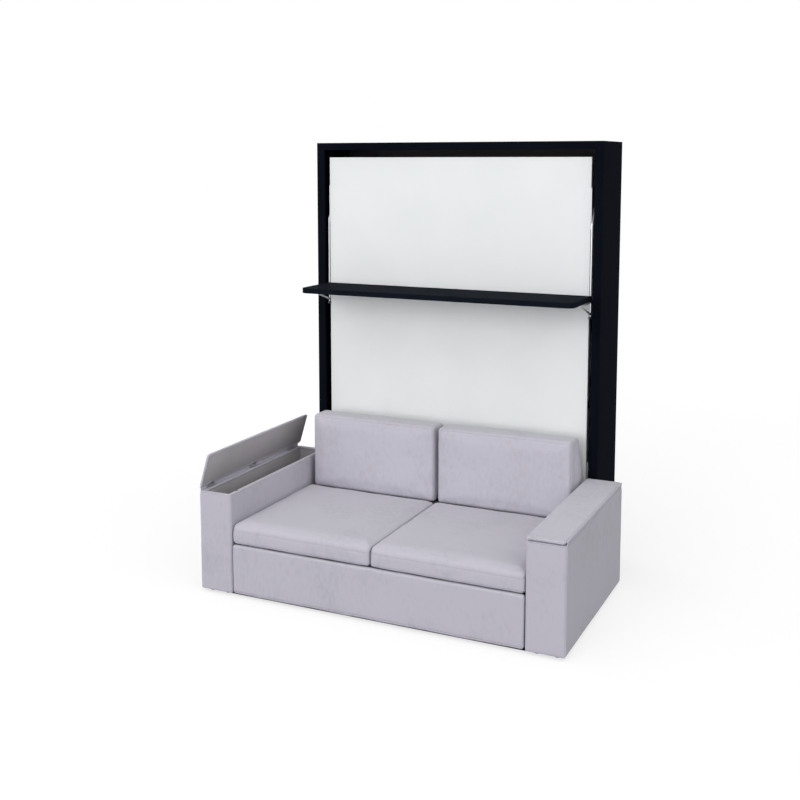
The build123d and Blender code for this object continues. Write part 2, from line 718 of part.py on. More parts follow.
def arms():
    """Storage arms: a board box, its padded cover, and a lid on hinges along the outer top edge."""
    outer = (arm_inside, half_sofa)
    depth_span = (arm_rear_depth, sofa_depth)
    box_x = (arm_inside + cover_thickness, half_sofa - cover_thickness)
    box_depth = (arm_rear_depth + cover_thickness, sofa_depth - cover_thickness)
    box_top = rim_height - cover_thickness
    hollow_x = (box_x[0] + arm_board, box_x[1] - arm_board)
    hollow_depth = (box_depth[0] + arm_board, box_depth[1] - arm_board)
    hollow = block(hollow_x, hollow_depth, (foot_height + arm_board, arm_height))
    box = block(box_x, box_depth, (foot_height, box_top)) - hollow
    save("arm_box_right", box)
    save("arm_box_left", mirrored(box))

    lip_height = hinge_height - hinge_knuckle_radius - face_gap
    cover = block(outer, depth_span, (foot_height, lip_height))
    cover = fillet(cover.edges().filter_by(Axis.Z), arm_corner)
    lid_outside = hinge_x - hinge_knuckle_radius - face_gap
    overrun_span = (arm_rear_depth - cut_overrun, sofa_depth + cut_overrun)
    cover -= block((arm_inside - cut_overrun, lid_outside + face_gap), overrun_span,
                   (rim_height, arm_height))
    web_outside = hinge_x - hinge_knuckle_radius + hinge_leaf_thickness + face_gap
    for low, high in hinge_spans():
        cover -= block((arm_inside, web_outside), (low - face_gap, high + face_gap),
                       (rim_height, arm_height))
    cover -= block(box_x, box_depth, (foot_height - cut_overrun, box_top))
    cover -= hollow
    save("arm_cover_right", cover)
    save("arm_cover_left", mirrored(cover))

    lid_bottom = rim_height + lid_seam
    lid = block((arm_inside, lid_outside), depth_span, (lid_bottom, arm_height))
    inner_corners = lid.edges().filter_by(Axis.Z).group_by(Axis.X)[0]
    lid = fillet(inner_corners, arm_corner)
    lid = fillet(lid.faces().sort_by(Axis.Z)[-1].edges(), lid_round)

    length = sofa_depth - arm_rear_depth
    box_leaves, lid_leaves, pins = [], [], []
    third = hinge_length / 3
    for low, high in hinge_spans():
        place = Pos(hinge_x, out((low + high) / 2), hinge_height) * Rot(90, 0, 0)
        lid_leaf = hinge_part((low + third + face_gap, high - third - face_gap),
                              lid_bottom - hinge_leaf_thickness)
        box_leaf = hinge_part((low, low + third), rim_height) + hinge_part((high - third, high), rim_height)
        box_leaf += block((hinge_x - hinge_leaf_width, lid_outside), (low, high),
                          (rim_height, rim_height + hinge_leaf_thickness))
        lid_leaves.append(lid_leaf)
        box_leaves.append(box_leaf)
        pins.append(place * Cylinder(hinge_pin_radius, hinge_length))
    save("lid_right", lid)
    save("lid_left", opened(lid))
    save("lid_leaves_right", *lid_leaves)
    save("lid_leaves_left", *[opened(leaf) for leaf in lid_leaves])
    save("lid_box_leaves", *[leaf for box_leaf in box_leaves for leaf in pair(box_leaf)])
    save("lid_hinge_pins", *[leaf for pin in pins for leaf in pair(pin)])

    buffers = []
    buffer_height = lid_seam - face_gap
    buffer_x = (arm_inside + hollow_x[0]) / 2
    for share in buffer_shares:
        place = Pos(buffer_x, out(arm_rear_depth + length * share), rim_height + buffer_height / 2)
        buffers += pair(place * Cylinder(buffer_radius, buffer_height))
    save("lid_buffers", *buffers)


def hinge_spans():
    """The depths between which each hinge of a lid lies."""
    length = sofa_depth - arm_rear_depth
    middles = [arm_rear_depth + length * share for share in hinge_shares]
    return [(middle - hinge_length / 2, middle + hinge_length / 2) for middle in middles]


def opened(shape):
    """A piece of the right lid as it lies on the left one, which stands open."""
    turn = Rot(0, -lid_open_angle, 0)
    return Pos(-hinge_x, 0, hinge_height) * turn * Pos(hinge_x, 0, -hinge_height) * mirrored(shape)


def hinge_part(depth_span, leaf_bottom):
    """One knuckle of a lid hinge with the part of its leaf that reaches under the lid."""
    middle = sum(depth_span) / 2
    length = depth_span[1] - depth_span[0]
    at_pin = Pos(hinge_x, out(middle), hinge_height) * Rot(90, 0, 0)
    knuckle_side = hinge_x - hinge_knuckle_radius
    web_side = knuckle_side + hinge_leaf_thickness
    leaf = block((hinge_x - hinge_leaf_width, web_side), depth_span,
                 (leaf_bottom, leaf_bottom + hinge_leaf_thickness))
    web = block((knuckle_side, web_side), depth_span, (leaf_bottom, hinge_height))
    knuckle = at_pin * Cylinder(hinge_knuckle_radius, length)
    return leaf + web + knuckle - at_pin * Cylinder(hinge_pin_radius + running_gap, length + cut_overrun)


os.makedirs("parts", exist_ok=True)
cabinet()
feet()
bearing_plates()
strut_anchor_plates()
bed_frame()
slats()
mattress()
bed_pivot_arms()
leg_hinge_plates()
shelf_legs()
shelf()
levelling_rods()
gas_struts()
backrest()
seat()
base()
arms()
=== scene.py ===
"""Looks of a wall bed with sofa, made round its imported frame. Metres, with X across and Z up."""
import math

import bmesh
import bpy
from mathutils import Matrix, Vector, noise
from mathutils.bvhtree import BVHTree
from mathutils.kdtree import KDTree


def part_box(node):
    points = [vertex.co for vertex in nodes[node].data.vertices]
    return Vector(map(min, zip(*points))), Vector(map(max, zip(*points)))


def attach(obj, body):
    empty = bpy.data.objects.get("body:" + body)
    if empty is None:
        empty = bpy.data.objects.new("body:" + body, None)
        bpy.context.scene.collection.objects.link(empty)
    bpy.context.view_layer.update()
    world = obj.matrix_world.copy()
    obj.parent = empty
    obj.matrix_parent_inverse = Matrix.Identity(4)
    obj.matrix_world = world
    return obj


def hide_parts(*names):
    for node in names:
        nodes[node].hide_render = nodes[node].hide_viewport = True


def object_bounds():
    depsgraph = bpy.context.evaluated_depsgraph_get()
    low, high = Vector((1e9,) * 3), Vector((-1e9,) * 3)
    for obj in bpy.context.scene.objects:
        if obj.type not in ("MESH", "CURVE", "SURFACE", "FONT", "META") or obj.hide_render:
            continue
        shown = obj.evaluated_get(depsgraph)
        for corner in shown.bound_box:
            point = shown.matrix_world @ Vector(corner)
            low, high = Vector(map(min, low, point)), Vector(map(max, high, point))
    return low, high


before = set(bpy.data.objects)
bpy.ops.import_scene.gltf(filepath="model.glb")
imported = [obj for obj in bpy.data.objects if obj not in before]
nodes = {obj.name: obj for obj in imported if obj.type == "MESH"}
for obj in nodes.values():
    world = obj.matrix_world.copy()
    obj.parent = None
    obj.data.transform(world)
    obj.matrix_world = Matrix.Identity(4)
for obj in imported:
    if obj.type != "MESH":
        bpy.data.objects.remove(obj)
cad_low, cad_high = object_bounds()
bpy.ops.object.select_all(action="DESELECT")

# The camera stands to the right of the sofa, two metres above the floor, and looks to the left
# and a little down.
camera_data = bpy.data.cameras.new("camera")
camera_data.lens = 49.283
camera_data.shift_y = -0.14
camera = bpy.data.objects.new("camera", camera_data)
camera_pitch, camera_yaw = 6.577, 25.082
camera.location = (2.1254, -4.8654, 2.0609)
camera.rotation_euler = (math.radians(90 - camera_pitch), 0, math.radians(camera_yaw))
bpy.context.scene.collection.objects.link(camera)
bpy.context.scene.camera = camera

# A plain white room: an even sky, broad soft lights from the front, above and the right, and a
# pale floor that keeps the shadow of the sofa.
scene = bpy.context.scene
scene.view_settings.view_transform = "Standard"
sky_strength, front_strength, top_strength, side_strength = 0.58, 1.64, 0.54, 0.54
sky = bpy.data.worlds.new("sky")
scene.world = sky
sky.use_nodes = True
sky_tree = sky.node_tree


def seen_directly(tree):
    """Socket that is 1 for what the camera, a mirror or glass sees, and 0 for what lights."""
    path = tree.nodes.new("ShaderNodeLightPath")
    direct = path.outputs["Is Camera Ray"]
    for other in ("Is Glossy Ray", "Is Transmission Ray"):
        larger = tree.nodes.new("ShaderNodeMath")
        larger.operation = "MAXIMUM"
        tree.links.new(direct, larger.inputs[0])
        tree.links.new(path.outputs[other], larger.inputs[1])
        direct = larger.outputs[0]
    return direct


white_sky = sky_tree.nodes.new("ShaderNodeBackground")
white_sky.inputs["Strength"].default_value = 1.0
white_sky.inputs["Color"].default_value = (1, 1, 1, 1)
lit_sky = sky_tree.nodes["Background"]
lit_sky.inputs["Color"].default_value = (0.97, 0.98, 1, 1)
lit_sky.inputs["Strength"].default_value = sky_strength
sky_mix = sky_tree.nodes.new("ShaderNodeMixShader")
sky_tree.links.new(seen_directly(sky_tree), sky_mix.inputs[0])
sky_tree.links.new(lit_sky.outputs[0], sky_mix.inputs[1])
sky_tree.links.new(white_sky.outputs[0], sky_mix.inputs[2])
sky_tree.links.new(sky_mix.outputs[0], sky_tree.nodes["World Output"].inputs["Surface"])

for light_name, strength, spread, colour, toward in (
        ("front light", front_strength, 50, (0.985, 0.975, 1.04), (0.18, 0.95, -0.14)),
        ("top light", top_strength, 70, (1.03, 1.0, 0.92), (0.20, 0.25, -0.95)),
        ("side light", side_strength, 60, (1.0, 1.0, 1.0), (-0.75, 0.35, -0.55))):
    light_data = bpy.data.lights.new(light_name, "SUN")
    light_data.energy = strength
    light_data.angle = math.radians(spread)
    light_data.color = colour
    light = bpy.data.objects.new(light_name, light_data)
    light.rotation_euler = Vector(toward).to_track_quat("-Z", "Y").to_euler()
    scene.collection.objects.link(light)

floor_half, floor_drop = 14, 0.0005
bpy.ops.mesh.primitive_plane_add(size=2 * floor_half, location=(0, 0, -floor_drop))
floor = bpy.context.object
floor.name = "floor"
floor_finish = bpy.data.materials.new("pale floor")
floor_finish.use_nodes = True
floor_tree = floor_finish.node_tree
floor_shader = floor_tree.nodes["Principled BSDF"]
floor_shader.inputs["Roughness"].default_value = 0.9
floor_shader.inputs["Specular IOR Level"].default_value = 0.1
floor_bounce, floor_look = (0.32, 0.32, 0.33, 1), (0.80, 0.80, 0.81, 1)
glow_strength, glow_share = 1.24, 0.55
floor_colour = floor_tree.nodes.new("ShaderNodeMix")
floor_colour.data_type = "RGBA"
floor_colour.inputs["A"].default_value = floor_bounce
floor_colour.inputs["B"].default_value = floor_look
floor_direct = seen_directly(floor_tree)
floor_tree.links.new(floor_direct, floor_colour.inputs["Factor"])
floor_tree.links.new(floor_colour.outputs["Result"], floor_shader.inputs["Base Color"])
floor_glow = floor_tree.nodes.new("ShaderNodeEmission")
floor_glow.inputs["Strength"].default_value = glow_strength
floor_share = floor_tree.nodes.new("ShaderNodeMath")
floor_share.operation = "MULTIPLY"
floor_share.inputs[1].default_value = glow_share
floor_mix = floor_tree.nodes.new("ShaderNodeMixShader")
floor_tree.links.new(floor_direct, floor_share.inputs[0])
floor_tree.links.new(floor_share.outputs[0], floor_mix.inputs[0])
floor_tree.links.new(floor_shader.outputs[0], floor_mix.inputs[1])
floor_tree.links.new(floor_glow.outputs[0], floor_mix.inputs[2])
floor_tree.links.new(floor_mix.outputs[0], floor_tree.nodes["Material Output"].inputs["Surface"])
floor.data.materials.append(floor_finish)

# The floor under the cabinet and under the sofa lies in their shade, so a plain grey patch is
# laid there, a little inside their outline.
shade_finish = bpy.data.materials.new("shaded floor")
shade_finish.use_nodes = True
shade_finish.node_tree.nodes["Principled BSDF"].inputs["Base Color"].default_value = floor_bounce
shade_margin, shade_drop = 0.035, 0.0002
sofa_rear_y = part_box("arm_cover_right")[1].y
cabinet_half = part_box("cabinet_side_right")[1].x
for patch_name, half_x, rear_y in (("shaded floor below sofa", cad_high.x, sofa_rear_y),
                                   ("shaded floor below cabinet", cabinet_half, cad_high.y)):
    front_y = cad_low.y + shade_margin
    rear_y -= shade_margin
    half_x -= shade_margin
    bpy.ops.mesh.primitive_plane_add(size=1, location=(0, (front_y + rear_y) / 2, -shade_drop))
    patch = bpy.context.object
    patch.name = patch_name
    patch.scale = (2 * half_x, rear_y - front_y, 1)
    bpy.ops.object.transform_apply(location=True, scale=True)
    patch.data.materials.append(shade_finish)

# Cabinet: black lacquered boards with a navy tint, glued and screwed into a tall box, with
# eased edges. The front stiles and header hide the edges of the bed's panel.


def blank_finish(name, roughness, metallic=0.0, specular=0.5):
    """A new material and its shader."""
    finish = bpy.data.materials.new(name)
    finish.use_nodes = True
    shader = finish.node_tree.nodes["Principled BSDF"]
    shader.inputs["Roughness"].default_value = roughness
    shader.inputs["Metallic"].default_value = metallic
    shader.inputs["Specular IOR Level"].default_value = specular
    return finish, shader


def texture(finish, kind, scale, stretch=(1, 1, 1), **settings):
    """A texture node on Object coordinates, with its pattern stretched along the axes."""
    tree = finish.node_tree
    place = tree.nodes.new("ShaderNodeTexCoord")
    mapping = tree.nodes.new("ShaderNodeMapping")
    mapping.inputs["Scale"].default_value = stretch
    node = tree.nodes.new(kind)
    node.inputs["Scale"].default_value = scale
    for key, value in settings.items():
        if key in node.inputs:
            node.inputs[key].default_value = value
        else:
            setattr(node, key, value)
    tree.links.new(place.outputs["Object"], mapping.inputs["Vector"])
    tree.links.new(mapping.outputs["Vector"], node.inputs["Vector"])
    return node


def tint(finish, shader, factor, dark, light, low=0.3, high=0.7):
    """Colours the shader between two colours by a texture's value."""
    tree = finish.node_tree
    ramp = tree.nodes.new("ShaderNodeValToRGB")
    ramp.color_ramp.elements[0].position = low
    ramp.color_ramp.elements[1].position = high
    ramp.color_ramp.elements[0].color = (*dark, 1)
    ramp.color_ramp.elements[1].color = (*light, 1)
    tree.links.new(factor, ramp.inputs["Fac"])
    tree.links.new(ramp.outputs["Color"], shader.inputs["Base Color"])


def gloss(finish, shader, factor, low, high):
    """Lets a texture's value vary the roughness."""
    tree = finish.node_tree
    spread = tree.nodes.new("ShaderNodeMapRange")
    spread.inputs["To Min"].default_value = low
    spread.inputs["To Max"].default_value = high
    tree.links.new(factor, spread.inputs["Value"])
    tree.links.new(spread.outputs["Result"], shader.inputs["Roughness"])


def relief(finish, shader, height, depth, strength=1.0):
    """Adds a texture's value as bump, over any bump that the shader has already."""
    tree = finish.node_tree
    bump = tree.nodes.new("ShaderNodeBump")
    bump.inputs["Distance"].default_value = depth
    bump.inputs["Strength"].default_value = strength
    before = shader.inputs["Normal"].links
    if before:
        tree.links.new(before[0].from_socket, bump.inputs["Normal"])
    tree.links.new(height, bump.inputs["Height"])
    tree.links.new(bump.outputs["Normal"], shader.inputs["Normal"])


def board_finish(name, dark, light, roughness, grain_depth, specular=0.5):
    """Lacquered or laminated board: even colour with faint clouds and a fine grain."""
    finish, shader = blank_finish(name, roughness, specular=specular)
    clouds = texture(finish, "ShaderNodeTexNoise", 3.5, Detail=4)
    grain = texture(finish, "ShaderNodeTexNoise", 900, Detail=2)
    tint(finish, shader, clouds.outputs["Fac"], dark, light)
    gloss(finish, shader, clouds.outputs["Fac"], roughness - 0.05, roughness + 0.07)
    relief(finish, shader, grain.outputs["Fac"], grain_depth)
    return finish


def dress(names, finish, edge=0.0, segments=2):
    """Gives CAD pieces a finish, and eases their sharp edges by the given width."""
    weld_gap, flat_angle, sharp_angle = 0.00002, math.radians(1), math.radians(40)
    for name in names:
        piece = nodes[name]
        piece.data.materials.clear()
        piece.data.materials.append(finish)
        if edge:
            piece.modifiers.new("joined", "WELD").merge_threshold = weld_gap
            flat = piece.modifiers.new("flat faces", "DECIMATE")
            flat.decimate_type = "DISSOLVE"
            flat.angle_limit = flat_angle
            eased = piece.modifiers.new("eased edges", "BEVEL")
            eased.width = edge
            eased.segments = segments
            eased.limit_method = "ANGLE"
            eased.angle_limit = sharp_angle


black_lacquer = board_finish("black lacquer", (0.0034, 0.0044, 0.0078), (0.0054, 0.0068, 0.0112),
                             roughness=0.62, grain_depth=0.00002, specular=0.002)
dress(("cabinet_side_left", "cabinet_side_right", "front_stile_left", "front_stile_right",
       "header_rail", "top_board", "bottom_board", "plinth"), black_lacquer, edge=0.0012)
dark_hardboard = board_finish("dark hardboard", (0.012, 0.012, 0.014), (0.02, 0.02, 0.023),
                              roughness=0.7, grain_depth=0.00006, specular=0.15)
dress(("back_panel",), dark_hardboard, edge=0.0005)


def timber_finish(name, dark, light, roughness, stretch):
    """Bare wood: long streaks along the grain and fine pores."""
    finish, shader = blank_finish(name, roughness)
    streaks = texture(finish, "ShaderNodeTexNoise", 1.0, stretch, Detail=6, Distortion=0.6)
    pores = texture(finish, "ShaderNodeTexNoise", 6.0, stretch, Detail=3)
    tint(finish, shader, streaks.outputs["Fac"], dark, light, low=0.35, high=0.65)
    gloss(finish, shader, pores.outputs["Fac"], roughness - 0.08, roughness + 0.08)
    relief(finish, shader, pores.outputs["Fac"], 0.0002)
    return finish


# Near-black plywood for the wall rails. On the seat board and base side rails its dark colour is painted
# shade for the gap under the seat.
dark_plywood_and_gap_shade = timber_finish("near-black plywood with painted gap shade", (0.006, 0.006, 0.007), (0.011, 0.011, 0.012),
                           roughness=0.65, stretch=(3, 60, 60))
dress(("wall_rails",), dark_plywood_and_gap_shade, edge=0.0008)

# Screws: zinc-plated domed heads that hold the back panel, and blackened bolts that go through
# the wall rails. One head of each is modelled and copied.


def steel_finish(name, colour, roughness, stretch=(1, 1, 1), streak=0.00003):
    """Plated steel with faint drawn streaks."""
    finish, shader = blank_finish(name, roughness, metallic=1.0)
    streaks = texture(finish, "ShaderNodeTexNoise", 240, stretch, Detail=3)
    clouds = texture(finish, "ShaderNodeTexNoise", 14, Detail=3)
    tint(finish, shader, clouds.outputs["Fac"], [c * 0.86 for c in colour], colour)
    gloss(finish, shader, streaks.outputs["Fac"], roughness - 0.08, roughness + 0.12)
    relief(finish, shader, streaks.outputs["Fac"], streak)
    return finish


bright_steel = steel_finish("zinc-plated steel", (0.52, 0.53, 0.54), roughness=0.40, stretch=(1, 1, 0.08))
black_steel = steel_finish("blackened steel", (0.035, 0.035, 0.038), roughness=0.5)


def join_up(name, parts, body, finish):
    """Joins parts into one piece that rides on a body."""
    bpy.ops.object.select_all(action="DESELECT")
    for part in parts:
        part.select_set(True)
    bpy.context.view_layer.objects.active = parts[0]
    if len(parts) > 1:
        bpy.ops.object.join()
    piece = bpy.context.view_layer.objects.active
    bpy.ops.object.transform_apply(location=True, rotation=True, scale=True)
    piece.name = piece.data.name = name
    piece.data.materials.clear()
    piece.data.materials.append(finish)
    piece.select_set(False)
    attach(piece, body)
    return piece


def pick(kind, test):
    """Selects the corners, edges or faces of the open piece that pass a test."""
    shape = bmesh.from_edit_mesh(bpy.context.object.data)
    bpy.ops.mesh.select_mode(type=kind)
    bpy.ops.mesh.select_all(action="DESELECT")
    parts = {"VERT": shape.verts, "EDGE": shape.edges, "FACE": shape.faces}[kind]
    for part in parts:
        if test(part):
            part.select_set(True)
    shape.select_flush_mode()
    bmesh.update_edit_mesh(bpy.context.object.data)


def screw_head(radius, height):
    """A low domed head with a round recess, standing on the XY plane at the origin."""
    dome, recess_margin, recess_depth = height * 0.55, radius * 0.42, height * 0.6
    bpy.ops.mesh.primitive_cylinder_add(vertices=18, radius=radius, depth=height,
                                        location=(0, 0, height / 2))
    head = bpy.context.object
    bpy.ops.object.transform_apply(location=True)
    bpy.ops.object.mode_set(mode="EDIT")
    pick("FACE", lambda f: f.normal.z > 0.9)
    bpy.ops.mesh.bevel(offset=dome, segments=2, affect="EDGES")
    pick("FACE", lambda f: f.normal.z > 0.99 and f.calc_center_median().z > height * 0.9)
    bpy.ops.mesh.inset(thickness=recess_margin)
    bpy.ops.mesh.extrude_region_move(TRANSFORM_OT_translate={"value": (0, 0, -recess_depth)})
    bpy.ops.object.mode_set(mode="OBJECT")
    return head


def set_out(radius, height, places, facing):
    """Screw heads at places, each turned so that its top faces a direction."""
    head = screw_head(radius, height)
    turn = Vector((0, 0, 1)).rotation_difference(Vector(facing)).to_matrix().to_4x4()
    parts = []
    for place in places:
        copy = head.copy()
        copy.data = head.data.copy()
        copy.data.transform(Matrix.Translation(Vector(place)) @ turn)
        scene.collection.objects.link(copy)
        parts.append(copy)
    bpy.data.objects.remove(head)
    return parts


screw_size, bolt_size = (0.0042, 0.0018), (0.0085, 0.006)
screws_up, screws_across, edge_margin, corner_margin = 12, 6, 0.011, 0.05
rear_low, rear_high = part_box("back_panel")
rear_screws = []
screws_run = rear_high.z - rear_low.z - 2 * corner_margin
for n in range(screws_up):
    z = rear_low.z + corner_margin + n * screws_run / (screws_up - 1)
    for x in (rear_low.x + edge_margin, rear_high.x - edge_margin):
        rear_screws.append((x, rear_high.y, z))
for n in range(1, screws_across + 1):
    x = rear_low.x + n * (rear_high.x - rear_low.x) / (screws_across + 1)
    for z in (rear_low.z + edge_margin, rear_high.z - edge_margin):
        rear_screws.append((x, rear_high.y, z))
join_up("back_panel_screws", set_out(*screw_size, rear_screws, (0, 1, 0)), "carcass",
        bright_steel)
bolt_x, bolt_inset = 0.6, 0.045
rail_low, rail_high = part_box("wall_rails")
wall_bolts = [(x, rail_low.y, z) for x in (-bolt_x, bolt_x)
              for z in (rail_high.z - bolt_inset, rail_low.z + bolt_inset)]
join_up("wall_bolt_heads", set_out(*bolt_size, wall_bolts, (0, -1, 0)), "carcass",
        black_steel)

# Glides, bearing plates and strut anchors: moulded plastic under the boards, and plated steel
# plates screwed to the cabinet sides.


def plastic_finish(name, colour, roughness):
    """Moulded plastic with a fine leathery texture."""
    finish, shader = blank_finish(name, roughness)
    leather = texture(finish, "ShaderNodeTexVoronoi", 700)
    clouds = texture(finish, "ShaderNodeTexNoise", 20)
    tint(finish, shader, clouds.outputs["Fac"], [c * 0.85 for c in colour], colour)
    gloss(finish, shader, clouds.outputs["Fac"], roughness - 0.06, roughness + 0.06)
    relief(finish, shader, leather.outputs["Distance"], 0.00012)
    return finish


black_plastic = plastic_finish("black moulded plastic", (0.022, 0.022, 0.024), roughness=0.5)
dress(("feet", "lid_buffers"), black_plastic)
dress(("bearing_plates", "strut_anchor_plates"), bright_steel)
plate_thickness, anchor_inset = 0.003, 0.009
plate_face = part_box("cabinet_side_right")[0].x - plate_thickness
bearing_screws = ((0.393, 0.42), (0.393, 0.55), (0.328, 0.42), (0.328, 0.556))
plate_screws = [(plate_face, y, z) for y, z in bearing_screws]
anchor_low, anchor_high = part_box("strut_anchor_plates")
for y in (anchor_low.y + anchor_inset, anchor_high.y - anchor_inset):
    for z in (anchor_low.z + anchor_inset, anchor_high.z - anchor_inset):
        plate_screws.append((plate_face, y, z))
mirrored_screws = [(-x, y, z) for x, y, z in plate_screws]
for screws_name, places, facing in (("plate_screws_right", plate_screws, (-1, 0, 0)),
                                    ("plate_screws_left", mirrored_screws, (1, 0, 0))):
    join_up(screws_name, set_out(*screw_size, places, facing), "carcass", bright_steel)

# Front panel: white laminated board. The bed frame behind it is grey powder-coated steel tube,
# with bent birch slats in plastic caps.
white_laminate = board_finish("white laminate", (0.800, 0.824, 0.798), (0.838, 0.858, 0.830),
                              roughness=0.5, grain_depth=0.00003, specular=0.25)
dress(("front_panel",), white_laminate, edge=0.001)


def powder_finish(name, colour, roughness):
    """Powder coat: a fine orange-peel bump and specks of tone."""
    finish, shader = blank_finish(name, roughness)
    specks = texture(finish, "ShaderNodeTexNoise", 1400, Detail=1)
    peel = texture(finish, "ShaderNodeTexNoise", 420, Detail=2)
    tint(finish, shader, specks.outputs["Fac"], [c * 0.82 for c in colour], [c * 1.12 for c in colour])
    gloss(finish, shader, peel.outputs["Fac"], roughness - 0.05, roughness + 0.1)
    relief(finish, shader, peel.outputs["Fac"], 0.00012)
    return finish


frame_steel = powder_finish("grey powder coat", (0.085, 0.088, 0.095), roughness=0.48)
dress(("bed_side_rail_left", "bed_side_rail_right", "bed_end_rails", "bed_cross_bars"), frame_steel,
      edge=0.0025)
dress(("backrest_ledge", "backrest_brackets", "joining_plates"), frame_steel, edge=0.0006)
birch = timber_finish("bent birch", (0.52, 0.37, 0.20), (0.70, 0.54, 0.34), roughness=0.5,
                      stretch=(2.5, 70, 70))
dress(("slats",), birch, edge=0.0015)
dress(("slat_caps",), black_plastic, edge=0.0008)

# Mattress: a foam core in pale quilted ticking with two sewn border tapes. Its block is shaped,
# cut into a fine grid, quilted and smoothed, as the other padded pieces are.


def new_block(name, low, high):
    """A block between two corners, as the start of a piece."""
    low, high = Vector(low), Vector(high)
    bpy.ops.object.select_all(action="DESELECT")
    bpy.ops.mesh.primitive_cube_add(size=1, location=(low + high) / 2)
    piece = bpy.context.object
    piece.name = piece.data.name = name
    piece.scale = high - low
    bpy.ops.object.transform_apply(location=True, rotation=True, scale=True)
    return piece


def edit(piece):
    """Opens a piece for shaping."""
    bpy.ops.object.select_all(action="DESELECT")
    piece.select_set(True)
    bpy.context.view_layer.objects.active = piece
    bpy.ops.object.mode_set(mode="EDIT")


def leave():
    """Closes the piece that is being shaped."""
    bpy.ops.object.mode_set(mode="OBJECT")


def along(axis):
    """A test for edges that run along an axis."""
    def test(edge):
        run = (edge.verts[1].co - edge.verts[0].co).normalized()
        return abs(run[axis]) > 0.99
    return test


def extent(piece):
    """The lowest and highest corner of a piece."""
    places = [v.co for v in piece.data.vertices]
    low = Vector([min(place[axis] for place in places) for axis in range(3)])
    high = Vector([max(place[axis] for place in places) for axis in range(3)])
    return low, high


def grid_cuts(piece, spacing):
    """Cuts a piece at regular planes along all three axes, so that it can bend."""
    low, high = extent(piece)
    edit(piece)
    for axis in range(3):
        size = high[axis] - low[axis]
        count = max(1, round(size / spacing[axis]))
        normal = [0, 0, 0]
        normal[axis] = 1
        for n in range(1, count):
            place = [0, 0, 0]
            place[axis] = low[axis] + size * n / count
            bpy.ops.mesh.select_all(action="SELECT")
            bpy.ops.mesh.bisect(plane_co=place, plane_no=normal)
    bpy.ops.mesh.select_all(action="SELECT")
    bpy.ops.mesh.remove_doubles(threshold=0.0004)
    leave()


def apply_modifier(piece, kind, **settings):
    """Adds a modifier and applies it."""
    bpy.ops.object.select_all(action="DESELECT")
    piece.select_set(True)
    bpy.context.view_layer.objects.active = piece
    modifier = piece.modifiers.new(kind, kind)
    for key, value in settings.items():
        setattr(modifier, key, value)
    bpy.ops.object.modifier_apply(modifier=modifier.name)


def rounded(piece, levels=1):
    """Smooths a piece by subdivision."""
    apply_modifier(piece, "SUBSURF", levels=levels, render_levels=levels)


def ripple(piece, height, size, seed, mask=None):
    """Moves the surface in and out a little, as cloth over foam does."""
    offset = Vector((seed * 7.1, seed * 3.7, seed * 5.3))
    normals = [v.normal.copy() for v in piece.data.vertices]
    for v, normal in zip(piece.data.vertices, normals):
        share = 1.0 if mask is None else mask(v.co)
        v.co += normal * (noise.noise(v.co / size + offset) * height * share)


def summed(finish, first, second):
    """The sum of two textures' values."""
    total = finish.node_tree.nodes.new("ShaderNodeMath")
    total.operation = "ADD"
    finish.node_tree.links.new(first, total.inputs[0])
    finish.node_tree.links.new(second, total.inputs[1])
    return total.outputs[0]


def fabric_finish(name, dark, light, thread=0.0026, weave_depth=0.00022):
    """Flat-woven cloth: crossing threads, a soft nap, brushed clouds of tone and fine slubs."""
    finish, shader = blank_finish(name, 0.88, specular=0.22)
    shader.inputs["Sheen Weight"].default_value = 0.22
    shader.inputs["Sheen Roughness"].default_value = 0.55
    clouds = texture(finish, "ShaderNodeTexNoise", 3.2, Detail=5, Roughness=0.55)
    brushed = texture(finish, "ShaderNodeTexNoise", 58, (1, 1, 0.45), Detail=6, Roughness=0.66)
    mottle = summed(finish, clouds.outputs["Fac"], brushed.outputs["Fac"])
    tint(finish, shader, mottle, dark, light, low=0.70, high=1.0)
    slubs = texture(finish, "ShaderNodeTexNoise", 260, Detail=3)
    gloss(finish, shader, slubs.outputs["Fac"], 0.8, 0.95)
    weave = None
    for direction in ("X", "Y", "Z"):
        threads = texture(finish, "ShaderNodeTexWave", math.pi / (10 * thread), Distortion=1.2, Detail=1.0,
                          bands_direction=direction)
        bands = threads.outputs["Fac"]
        weave = bands if weave is None else summed(finish, weave, bands)
    relief(finish, shader, weave, weave_depth, strength=0.6)
    relief(finish, shader, slubs.outputs["Fac"], 0.0002, strength=0.5)
    folds = texture(finish, "ShaderNodeTexNoise", 26, Detail=2)
    relief(finish, shader, folds.outputs["Fac"], 0.0012, strength=0.35)
    return finish


def finished(piece, body, finish, replaced=()):
    """Gives a piece its finish and body, and hides the CAD pieces that it stands for."""
    bpy.ops.object.select_all(action="DESELECT")
    piece.data.materials.clear()
    piece.data.materials.append(finish)
    for face in piece.data.polygons:
        face.use_smooth = True
    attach(piece, body)
    if replaced:
        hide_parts(*replaced)
    return piece


